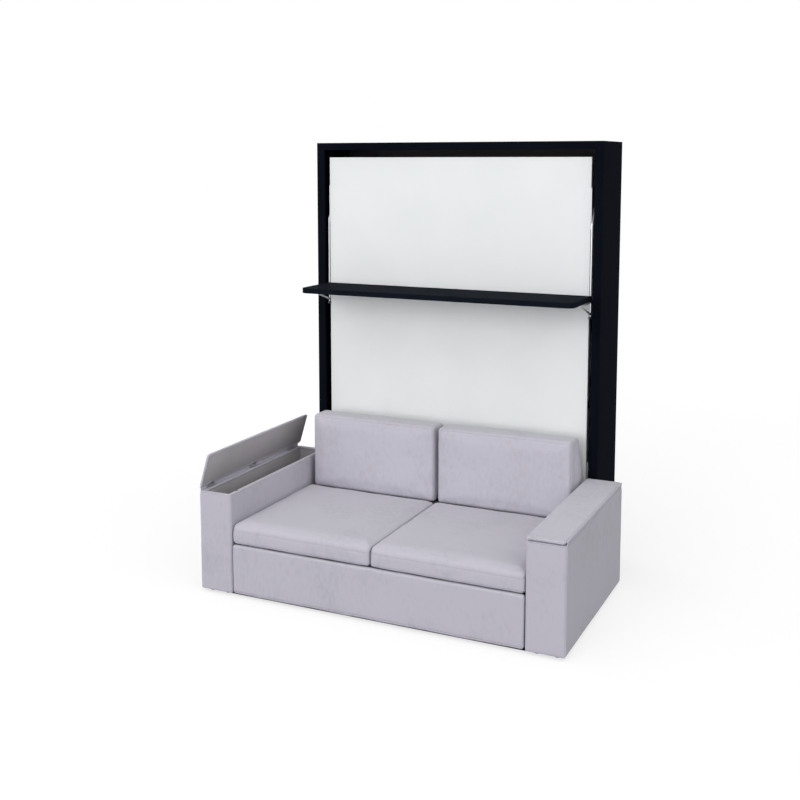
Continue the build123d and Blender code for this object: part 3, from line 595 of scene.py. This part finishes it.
def draw_seam(name, points, on, body, finish, radius=0.0011, press=0.0022, pucker=0.0012):
    """A sewn seam past the given points: it draws the cloth in, puckers it and shows its thread."""
    stitch, groove, reach, fold_size = 0.006, 0.0045, 0.030, 0.016
    surface = BVHTree.FromPolygons([v.co for v in on.data.vertices],
                                   [list(p.vertices) for p in on.data.polygons])
    path = []
    for start, end in zip(points, points[1:]):
        start, end = Vector(start), Vector(end)
        count = max(2, round((end - start).length / stitch))
        path += [start.lerp(end, n / count) for n in range(count)]
    path.append(Vector(points[-1]))
    landed = [surface.find_nearest(point) for point in path]
    near = KDTree(len(path))
    for n, (place, _, _, _) in enumerate(landed):
        near.insert(place, n)
    near.balance()
    normals = [v.normal.copy() for v in on.data.vertices]
    for v, normal in zip(on.data.vertices, normals):
        _, _, away = near.find(v.co)
        if away < reach:
            fold = pucker * noise.noise(v.co / fold_size) * (1 - away / reach) ** 2
            v.co += normal * (fold - press * math.exp(-(away / groove) ** 2))
    curve = bpy.data.curves.new(name, "CURVE")
    curve.dimensions = "3D"
    curve.bevel_depth = radius
    curve.bevel_resolution = 1
    curve.resolution_u = 3
    curve.use_fill_caps = True
    line = curve.splines.new("NURBS")
    line.points.add(len(path) - 1)
    for n, (place, normal, _, _) in enumerate(landed):
        line.points[n].co = (*(place - normal * press * 0.8), 1)
    line.order_u = 3
    line.use_endpoint_u = True
    seam = bpy.data.objects.new(name, curve)
    scene.collection.objects.link(seam)
    bpy.ops.object.select_all(action="DESELECT")
    seam.select_set(True)
    bpy.context.view_layer.objects.active = seam
    bpy.ops.object.convert(target="MESH")
    return finished(bpy.context.view_layer.objects.active, body, finish)


ticking = fabric_finish("quilted ticking", (0.74, 0.74, 0.72), (0.82, 0.82, 0.80), thread=0.0012)
mattress_low, mattress_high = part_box("mattress")
quilt_inset, quilt_size, quilt_depth, quilt_fullness = 0.003, 0.12, 0.0075, 1.6
mattress_round, mattress_edge, square_turn = 0.058, 0.018, 1.2
inset_corner = Vector((quilt_inset, quilt_inset, quilt_inset))
mattress = new_block("quilted_mattress", mattress_low + inset_corner, mattress_high - inset_corner)
edit(mattress)
pick("EDGE", lambda e: along(0)(e) and e.verts[0].co.y > mattress_high.y - 0.01)
bpy.ops.mesh.bevel(offset=mattress_round, segments=6, affect="EDGES")
pick("EDGE", lambda e: len(e.link_faces) == 2 and e.calc_face_angle(0) > square_turn)
bpy.ops.mesh.bevel(offset=mattress_edge, segments=3, affect="EDGES")
leave()
grid_cuts(mattress, spacing=(0.03, 0.03, 0.03))
for v in mattress.data.vertices:
    if abs(v.normal.y) > 0.7:
        rising = math.sin(math.pi * (v.co.x + v.co.z) / quilt_size)
        falling = math.sin(math.pi * (v.co.x - v.co.z) / quilt_size)
        v.co.y -= v.normal.y * quilt_depth * (1 - min(1, quilt_fullness * math.sqrt(abs(rising * falling))))
rounded(mattress)
finished(mattress, "bed", ticking, ("mattress",))
border_tape = fabric_finish("grey border tape", (0.50, 0.50, 0.50), (0.58, 0.58, 0.58), thread=0.0018)
front_tape_inset, rear_tape_inset = 0.018, 0.036
for tape_name, tape_y in (("front", mattress_low.y + front_tape_inset),
                          ("rear", mattress_high.y - rear_tape_inset)):
    tape_corners = [(mattress_low.x, tape_y, mattress_low.z), (mattress_high.x, tape_y, mattress_low.z),
                    (mattress_high.x, tape_y, mattress_high.z), (mattress_low.x, tape_y, mattress_high.z),
                    (mattress_low.x, tape_y, mattress_low.z)]
    draw_seam("mattress_tape_" + tape_name, tape_corners, mattress, "bed", border_tape,
              radius=0.0026, press=0.0012)

# Straps: dark webbing, bent round the mattress and fixed to the frame, that keep it on the slats
# while the bed stands up.
webbing = fabric_finish("dark webbing", (0.03, 0.03, 0.035), (0.05, 0.05, 0.055), thread=0.0022,
                        weave_depth=0.0004)
strap_low, strap_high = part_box("mattress_straps")
strap_width, strap_thickness, strap_bend, strap_inset, strap_edge = 0.038, 0.0018, 0.02, 0.02, 0.0005
frame_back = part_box("bed_side_rail_left")[1].y
strap_parts = []
for centre_z in (strap_low.z + strap_inset, strap_high.z - strap_inset):
    strap = new_block("strap", (strap_low.x, frame_back, centre_z - strap_width / 2),
                      (strap_high.x, strap_high.y, centre_z + strap_width / 2))
    edit(strap)
    pick("FACE", lambda f: f.normal.y < -0.9 or abs(f.normal.z) > 0.9)
    bpy.ops.mesh.delete(type="ONLY_FACE")
    pick("EDGE", lambda e: along(2)(e) and e.verts[0].co.y > strap_high.y - 0.001)
    bpy.ops.mesh.bevel(offset=strap_bend, segments=6, affect="EDGES")
    leave()
    apply_modifier(strap, "SOLIDIFY", thickness=strap_thickness, offset=-1)
    apply_modifier(strap, "BEVEL", width=strap_edge, segments=2, limit_method="ANGLE")
    strap_parts.append(strap)
straps = join_up("mattress_webbing", strap_parts, "bed", webbing)
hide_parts("mattress_straps")

# Pivots, hinge plates, legs, levelling rods and gas struts: plated plates and flat bars on
# pins, with nylon bushes, and struts of painted tube with a polished rod.
dress(("bed_pivot_arms", "leg_hinge_plates", "shelf_leg_left", "shelf_leg_right", "levelling_rod_left",
       "levelling_rod_right"), bright_steel)
nylon = plastic_finish("natural nylon", (0.62, 0.62, 0.58), roughness=0.4)
dress(("pivot_bushes",), nylon)
dress(("leg_foot_pads",), black_plastic, edge=0.001)
dress(("strut_cylinder_left", "strut_cylinder_right"), frame_steel)
polished_rod = steel_finish("polished piston rod", (0.75, 0.76, 0.77), roughness=0.16,
                            stretch=(1, 1, 0.2), streak=0.00001)
dress(("strut_rod_left", "strut_rod_right"), polished_rod)

# Shelf: a board like the cabinet's with rounded front corners and a satin coat, screwed down
# on the legs' braces.
satin_lacquer = board_finish("satin black lacquer", (0.0056, 0.0080, 0.0122), (0.0084, 0.0112, 0.0165),
                             roughness=0.62, grain_depth=0.00002, specular=0.004)
dress(("shelf",), satin_lacquer, edge=0.0015, segments=3)

# Back cushions: two wedges of foam in a sewn cover, fullest at the front, that lean on the
# bent brackets and stand on the steel ledge.


def inflate(piece, pressure, rise, sink, rests):
    """Fills a shape as cloth; foam limits how far a point rises or sinks, and what rests stays flat."""
    last_frame = 20
    before = [v.co.copy() for v in piece.data.vertices]
    outward = [v.normal.copy() for v in piece.data.vertices]
    cloth = piece.modifiers.new("padding", "CLOTH")
    cloth.settings.quality = 4
    cloth.settings.mass = 0.4
    cloth.settings.tension_stiffness = 12
    cloth.settings.compression_stiffness = 12
    cloth.settings.shear_stiffness = 4
    cloth.settings.bending_stiffness = 0.6
    cloth.settings.use_pressure = True
    cloth.settings.uniform_pressure_force = pressure
    cloth.settings.effector_weights.gravity = 0
    cloth.point_cache.frame_start = 1
    cloth.point_cache.frame_end = last_frame
    for step in range(1, last_frame + 1):
        scene.frame_set(step)
    filled = piece.evaluated_get(bpy.context.evaluated_depsgraph_get())
    after = [v.co.copy() for v in filled.data.vertices]
    piece.modifiers.remove(cloth)
    scene.frame_set(1)
    for v, start, end, normal in zip(piece.data.vertices, before, after, outward):
        move = end - start
        cap = rise if move.dot(normal) > 0 and not rests(normal) else sink
        if move.length > 1e-9:
            v.co = start + move * (cap * math.tanh(move.length / cap) / move.length)


def fit_between(piece, low, high):
    """Scales a padded piece to lie between two corners."""
    least, most = extent(piece)
    for axis in range(3):
        share = (high[axis] - low[axis]) / (most[axis] - least[axis])
        for v in piece.data.vertices:
            v.co[axis] = low[axis] + (v.co[axis] - least[axis]) * share


def mirrored_copy(piece, name):
    """The same piece on the other side of the bed."""
    copy = piece.copy()
    copy.data = piece.data.copy()
    copy.name = copy.data.name = name
    scene.collection.objects.link(copy)
    copy.data.transform(Matrix.Scale(-1, 4, (1, 0, 0)))
    copy.data.flip_normals()
    return copy


sofa_fabric = fabric_finish("grey lilac fabric", (0.468, 0.458, 0.496), (0.532, 0.515, 0.576))
# The seams use the sofa's fabric made darker: painted shade for the groove that each seam draws in.
seam_painted_shade = fabric_finish("grey lilac seam darkened as painted shade", (0.36, 0.35, 0.39), (0.42, 0.405, 0.45))
back_low, back_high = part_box("back_cushion_right")
pad_inset, back_crown, back_reach, pad_gap, side_gap = 0.006, 0.011, 0.004, 0.0004, 0.0006
cushion_round, cushion_voxel, blunt_turn = 0.014, 0.009, 0.9
knee_z, above_knee, middle_y, brow_depth, brow_ease = 0.545, 0.05, 0.2, 0.430, 0.004
top_back_y = cad_high.y - brow_depth
back_cushion = new_block(
    "back_cushion_pad_right",
    (back_low.x + pad_inset, back_low.y + back_crown + pad_inset, back_low.z + pad_inset),
    (back_high.x - pad_inset, back_high.y - pad_inset, back_high.z - back_crown - pad_inset))
edit(back_cushion)
bpy.ops.mesh.select_all(action="SELECT")
bpy.ops.mesh.bisect(plane_co=(0, 0, knee_z), plane_no=(0, 0, 1))
pick("VERT", lambda v: v.co.z > knee_z + above_knee and v.co.y > middle_y)
bpy.ops.transform.translate(value=(0, top_back_y + brow_ease - (back_high.y - pad_inset), 0))
pick("EDGE", lambda e: e.calc_face_angle(0) > blunt_turn)
bpy.ops.mesh.bevel(offset=cushion_round, segments=3, affect="EDGES")
leave()
apply_modifier(back_cushion, "REMESH", mode="VOXEL", voxel_size=cushion_voxel)
inflate(back_cushion, pressure=4, rise=0.007, sink=0.001, rests=lambda n: n.z < -0.3 or n.y > 0.3)
apply_modifier(back_cushion, "SMOOTH", iterations=3, factor=0.5)
fit_between(back_cushion, back_low + Vector((side_gap, -back_reach, pad_gap)),
            back_high - Vector((side_gap, pad_gap, pad_gap)))
ripple(back_cushion, height=0.0022, size=0.11, seed=1)
ripple(back_cushion, height=0.0008, size=0.035, seed=2)
rounded(back_cushion)
back_cushion_left = mirrored_copy(back_cushion, "back_cushion_pad_left")
seam_inset = 0.012
for pad, side, sign in ((back_cushion, "right", 1), (back_cushion_left, "left", -1)):
    finished(pad, "bed", sofa_fabric, ("back_cushion_" + side,))
    x0, x1 = sign * (back_low.x + seam_inset), sign * (back_high.x - seam_inset)
    front_y, top_z, low_z = back_low.y + seam_inset, back_high.z - 0.014, back_low.z + 0.01
    rear_y, brow_y, brow_z = back_high.y - 0.010, top_back_y - 0.008, back_high.z - 0.016
    front_line = [(x0, front_y, low_z), (x0, front_y, top_z), (x1, front_y, top_z), (x1, front_y, low_z)]
    rear_line = [(x0, rear_y, low_z), (x0, rear_y, knee_z), (x0, brow_y, brow_z), (x1, brow_y, brow_z),
                 (x1, rear_y, knee_z), (x1, rear_y, low_z)]
    for seam_name, seam_line in (("front", front_line), ("rear", rear_line)):
        draw_seam(f"back_cushion_{seam_name}_seam_{side}", seam_line, pad, "bed",
                  seam_painted_shade)

# Seat cushions: two foam slabs in the same cover, crowned on top and rounded over the front,
# that lie on the sliding seat board.
seat_low, seat_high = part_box("seat_cushion_right")
board_low, board_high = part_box("seat_platform")
seat_crown, seat_reach, front_round, top_band, side_band = 0.016, 0.009, 0.030, 0.03, 0.05
front_edge_y = seat_low.y + pad_inset + 0.001
seat_cushion = new_block(
    "seat_cushion_pad_right",
    (seat_low.x + pad_inset, seat_low.y + pad_inset, seat_low.z + pad_inset),
    (seat_high.x - pad_inset, seat_high.y - pad_inset, seat_high.z - seat_crown))


def top_front_edge(e):
    """The edge where the top of a seat cushion meets its front."""
    return (min(v.co.z for v in e.verts) > seat_high.z - top_band
            and max(v.co.y for v in e.verts) < front_edge_y)


def top_side_edge(e):
    """An edge of a seat cushion's sides, from its top down over the round front."""
    return (abs(e.verts[0].co.x - e.verts[1].co.x) < 0.001 and e.is_manifold
            and e.calc_face_angle(0) > square_turn
            and max(v.co.z for v in e.verts) > seat_high.z - side_band)


edit(seat_cushion)
pick("EDGE", top_front_edge)
bpy.ops.mesh.bevel(offset=front_round, segments=4, affect="EDGES")
pick("EDGE", top_side_edge)
bpy.ops.mesh.bevel(offset=cushion_round, segments=3, affect="EDGES")
leave()
apply_modifier(seat_cushion, "REMESH", mode="VOXEL", voxel_size=cushion_voxel)
inflate(seat_cushion, pressure=4, rise=0.010, sink=0.001, rests=lambda n: n.z < -0.3 or n.y < -0.7)
apply_modifier(seat_cushion, "SMOOTH", iterations=3, factor=0.5)
fit_between(seat_cushion, seat_low + Vector((side_gap, side_gap, pad_gap)),
            seat_high + Vector((-side_gap, seat_reach, -pad_gap)))
ripple(seat_cushion, height=0.0020, size=0.12, seed=3)
ripple(seat_cushion, height=0.0007, size=0.035, seed=4)
rounded(seat_cushion)
for v in seat_cushion.data.vertices:
    over_board = board_low.y < v.co.y < board_high.y and abs(v.co.x) < board_high.x
    if over_board and v.co.z < board_high.z + pad_gap:
        v.co.z = board_high.z + pad_gap
seat_cushion_left = mirrored_copy(seat_cushion, "seat_cushion_pad_left")
seam_inset = 0.008
for pad, side, sign in ((seat_cushion, "right", 1), (seat_cushion_left, "left", -1)):
    finished(pad, "seat", sofa_fabric, ("seat_cushion_" + side,))
    x0, x1 = sign * (seat_low.x + seam_inset), sign * (seat_high.x - seam_inset)
    front_y, rear_y = seat_low.y + 0.003, seat_high.y - 0.03
    for seam_name, z, press in (("top", seat_high.z - 0.042, 0.0014), ("lower", seat_low.z + 0.012, 0.0010)):
        seam_line = [(x0, rear_y, z), (x0, front_y, z), (x1, front_y, z), (x1, rear_y, z)]
        draw_seam(f"seat_cushion_{seam_name}_seam_{side}", seam_line, pad, "seat",
                  seam_painted_shade, press=press)

# Seat frame: a plywood board on sanded battens, which ball-bearing runners carry
# between the rails of the base. The board and the base's side rails are near-black: painted shade
# for the dark gap under the seat.
plywood = timber_finish("sanded plywood", (0.40, 0.26, 0.13), (0.62, 0.45, 0.26), roughness=0.6,
                        stretch=(3, 60, 60))
dress(("seat_battens", "base_rear_rail"), plywood, edge=0.001)
# Painted shade: the seat board and base side rails are near-black to darken the gap under the seat.
dress(("seat_platform", "base_side_rails"), dark_plywood_and_gap_shade, edge=0.001)
dress(("fixed_runners", "sliding_runners"), bright_steel)

# Base: an upholstered board under the seat, padded at its front and rounded at its edges, with
# its cover sewn in along the bottom.


def puffed(piece, spacing, seed, height=0.0016, levels=1):
    """Cuts a shaped block fine, gives it soft ripples and smooths it."""
    grid_cuts(piece, spacing)
    ripple(piece, height, size=0.13, seed=seed)
    ripple(piece, height * 0.45, size=0.04, seed=seed + 1)
    rounded(piece, levels)


base_low, base_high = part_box("base_front")
base_round, base_hem, front_band = 0.010, 0.012, 0.005
low_ease, high_ease = Vector((0.001, 0.0018, 0.001)), Vector((0.001, 0.0005, 0.0012))
base_pad = new_block("base_front_pad", base_low + low_ease, base_high - high_ease)
edit(base_pad)
pick("EDGE", lambda e: max(v.co.y for v in e.verts) < base_low.y + front_band)
bpy.ops.mesh.bevel(offset=base_round, segments=3, affect="EDGES")
leave()
puffed(base_pad, spacing=(0.025, 0.03, 0.022), seed=5, levels=2)
finished(base_pad, "carcass", sofa_fabric, ("base_front",))
base_line = [(base_low.x + base_hem / 2, base_low.y, base_low.z + base_hem),
             (base_high.x - base_hem / 2, base_low.y, base_low.z + base_hem)]
draw_seam("base_front_lower_seam", base_line, base_pad, "carcass", seam_painted_shade)

# Arms: a board box lined in grey, inside a padded cover that is sewn from a front, two sides
# and a narrow rim round the opening, with a raised lip along the outer edge for the hinges.
grey_lining = board_finish("grey mauve lining", (0.42, 0.40, 0.41), (0.49, 0.47, 0.48),
                           roughness=0.8, grain_depth=0.0001, specular=0.2)
dress(("arm_box_left", "arm_box_right"), grey_lining)
arm_low, arm_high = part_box("arm_cover_right")
rim_top, rim_band = 0.497, 0.007
arm_high = Vector((arm_high.x, arm_high.y, rim_top))
ease, play, floor_play = 0.0016, 0.0002, 0.0003
rim_width, board_width, cover_width = 0.028, 0.016, 0.012
arm_round, rim_round, rim_lap = 0.0135, 0.004, 0.0005
arm_cover = new_block("arm_cover_pad_right", arm_low + Vector((ease, ease, floor_play)),
                      arm_high - Vector((ease, ease, ease)))
edit(arm_cover)
pick("EDGE", along(2))
bpy.ops.mesh.bevel(offset=arm_round, segments=4, affect="EDGES")
pick("EDGE", lambda e: min(v.co.z for v in e.verts) > rim_top - rim_band)
bpy.ops.mesh.bevel(offset=rim_round, segments=2, affect="EDGES")
pick("FACE", lambda f: f.normal.z > 0.99)
bpy.ops.mesh.inset(thickness=rim_width - ease - rim_round - rim_lap)


def at_opening(f):
    """The face that fills the opening of the arm."""
    return f.normal.z > 0.99 and len(f.verts) > 4


pick("FACE", at_opening)
rim_depth = cover_width - ease - floor_play
bpy.ops.mesh.extrude_region_move(TRANSFORM_OT_translate={"value": (0, 0, -rim_depth)})
bpy.ops.mesh.extrude_region_move(TRANSFORM_OT_translate={"value": (0, 0, 0)})
opening_half = (arm_high - arm_low) / 2 - Vector((rim_width, rim_width, 0))
widening = [1 + (board_width + play) / opening_half[axis] for axis in (0, 1)]
bpy.ops.transform.resize(value=(*widening, 1), center_override=(arm_low + arm_high) / 2)
inner_depth = arm_high.z - cover_width - arm_low.z - floor_play
bpy.ops.mesh.extrude_region_move(TRANSFORM_OT_translate={"value": (0, 0, -inner_depth)})
pick("FACE", lambda f: len(f.verts) > 4)
bpy.ops.mesh.delete(type="FACE")
pick("EDGE", lambda e: e.is_boundary)
bpy.ops.mesh.bridge_edge_loops()
bpy.ops.mesh.select_all(action="SELECT")
bpy.ops.mesh.normals_make_consistent(inside=False)
leave()
lip_inner, lip_top, lip_end, lip_depth, lip_edge = 0.9050, 0.5068, 0.012, 0.012, 0.0015
lip = new_block("lip", (lip_inner, arm_low.y + lip_end, arm_high.z - lip_depth),
                (arm_high.x - ease, arm_high.y - lip_end, lip_top))
apply_modifier(lip, "BEVEL", width=lip_edge, segments=2)
arm_cover.select_set(True)
bpy.context.view_layer.objects.active = arm_cover
bpy.ops.object.join()
grid_cuts(arm_cover, spacing=(0.03, 0.028, 0.028))


def calmer_rim(place):
    """How much of the ripples a place gets: the rim of the opening lies flatter."""
    below_rim, rim_share = 0.48, 0.3
    return 1.0 if place.z < below_rim else rim_share


ripple(arm_cover, height=0.0014, size=0.14, seed=7, mask=calmer_rim)
ripple(arm_cover, height=0.0006, size=0.04, seed=8, mask=calmer_rim)
rounded(arm_cover, levels=2)
arm_cover_left = mirrored_copy(arm_cover, "arm_cover_pad_left")
seam_inset = 0.003
for pad, side, sign in ((arm_cover, "right", 1), (arm_cover_left, "left", -1)):
    finished(pad, "carcass", sofa_fabric, ("arm_cover_" + side,))
    outer_x, inner_x = sign * (arm_high.x - seam_inset), sign * (arm_low.x + seam_inset)
    front_y, rear_y, rim_z = arm_low.y + seam_inset, arm_high.y - seam_inset, rim_top - rim_band
    rim_line = [(inner_x, rear_y, rim_z), (inner_x, front_y, rim_z), (outer_x, front_y, rim_z),
                (outer_x, rear_y, rim_z)]
    draw_seam("arm_rim_seam_" + side, rim_line, pad, "carcass", seam_painted_shade, press=0.0012)

# Lids: a thin board wrapped in padded fabric with a piped edge, and lined below. The left one
# stands open on its hinges, and the right one is closed.
lid_low, lid_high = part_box("lid_right")
lid_round, lid_edge, corner_band, lid_band = 0.013, 0.005, 0.01, 0.002
low_ease, high_ease = Vector((0.001, 0.001, 0.0008)), Vector((0.0006, 0.001, 0.001))
lid_pad = new_block("lid_pad_right", lid_low + low_ease, lid_high - high_ease)
edit(lid_pad)
pick("EDGE", lambda e: along(2)(e) and e.verts[0].co.x < lid_low.x + corner_band)
bpy.ops.mesh.bevel(offset=lid_round, segments=4, affect="EDGES")
pick("EDGE", lambda e: min(v.co.z for v in e.verts) > lid_high.z - lid_band)
bpy.ops.mesh.bevel(offset=lid_edge, segments=3, affect="EDGES")
leave()
puffed(lid_pad, spacing=(0.022, 0.024, 0.02), seed=9, height=0.0009)
lining_margin, hinge_margin, lining_proud, lining_thickness = 0.007, 0.016, 0.0002, 0.001
lining = new_block("lid_lining_right",
                   (lid_low.x + lining_margin, lid_low.y + lining_margin, lid_low.z - lining_proud),
                   (lid_high.x - hinge_margin, lid_high.y - lining_margin, lid_low.z + lining_thickness))
apply_modifier(lining, "BEVEL", width=0.0004, segments=2)
hinge_x, hinge_z, open_angle = 0.907, 0.511, 73.3
left_hinge = Vector((-hinge_x, 0, hinge_z))
open_turn = (Matrix.Translation(left_hinge) @ Matrix.Rotation(math.radians(-open_angle), 4, "Y")
             @ Matrix.Translation(-left_hinge))
left_pad = mirrored_copy(lid_pad, "lid_pad_left")
left_lining = mirrored_copy(lining, "lid_lining_left")
pipe_inset = 0.001
for pad, liner, side, sign in ((lid_pad, lining, "right", 1), (left_pad, left_lining, "left", -1)):
    body = "lid_" + side
    inner_x, outer_x = sign * (lid_low.x + pipe_inset), sign * (lid_high.x - pipe_inset)
    front_y, rear_y, edge_z = lid_low.y + pipe_inset, lid_high.y - pipe_inset, lid_low.z + pipe_inset
    finished(pad, body, sofa_fabric, (body,))
    finished(liner, body, grey_lining)
    edge_line = [(outer_x, front_y, edge_z), (inner_x, front_y, edge_z), (inner_x, rear_y, edge_z),
                 (outer_x, rear_y, edge_z)]
    piping = draw_seam("lid_piping_" + side, edge_line, pad, body, sofa_fabric,
                       radius=0.0022, press=0.0005, pucker=0.0008)
    if side == "left":
        for turned in (pad, liner, piping):
            turned.data.transform(open_turn)

# Hinge rolls: a fold of the fabric over the knuckles of each lid's hinges, tapered at both ends.
# It is centred on the hinge line, so it stays in place as the lid turns.
roll_radius, roll_margin, roll_taper, least_share = 0.0041, 0.003, 0.012, 0.1
bpy.ops.mesh.primitive_cylinder_add(vertices=16, radius=roll_radius,
                                    depth=lid_high.y - lid_low.y - 2 * roll_margin,
                                    location=(hinge_x, (lid_low.y + lid_high.y) / 2, hinge_z),
                                    rotation=(math.radians(90), 0, 0))
hinge_roll = bpy.context.object
hinge_roll.name = hinge_roll.data.name = "lid_hinge_roll_right"
bpy.ops.object.transform_apply(location=True, rotation=True, scale=True)
grid_cuts(hinge_roll, spacing=(1, 0.012, 1))
for v in hinge_roll.data.vertices:
    from_end = min(v.co.y - lid_low.y, lid_high.y - v.co.y) - roll_margin
    share = math.sqrt(max(least_share, 1 - (1 - min(1, from_end / roll_taper)) ** 2))
    v.co.x = hinge_x + (v.co.x - hinge_x) * share
    v.co.z = hinge_z + (v.co.z - hinge_z) * share
ripple(hinge_roll, height=0.0007, size=0.03, seed=11)
rounded(hinge_roll)
hinge_roll_left = mirrored_copy(hinge_roll, "lid_hinge_roll_left")
finished(hinge_roll, "lid_right", sofa_fabric)
finished(hinge_roll_left, "lid_left", sofa_fabric)

# Lid hinges: plated steel leaves, rolled round a pin. One leaf is fixed to the arm's box and the
# other to the lid's board.
dress(("lid_box_leaves", "lid_hinge_pins", "lid_leaves_left", "lid_leaves_right"), bright_steel)
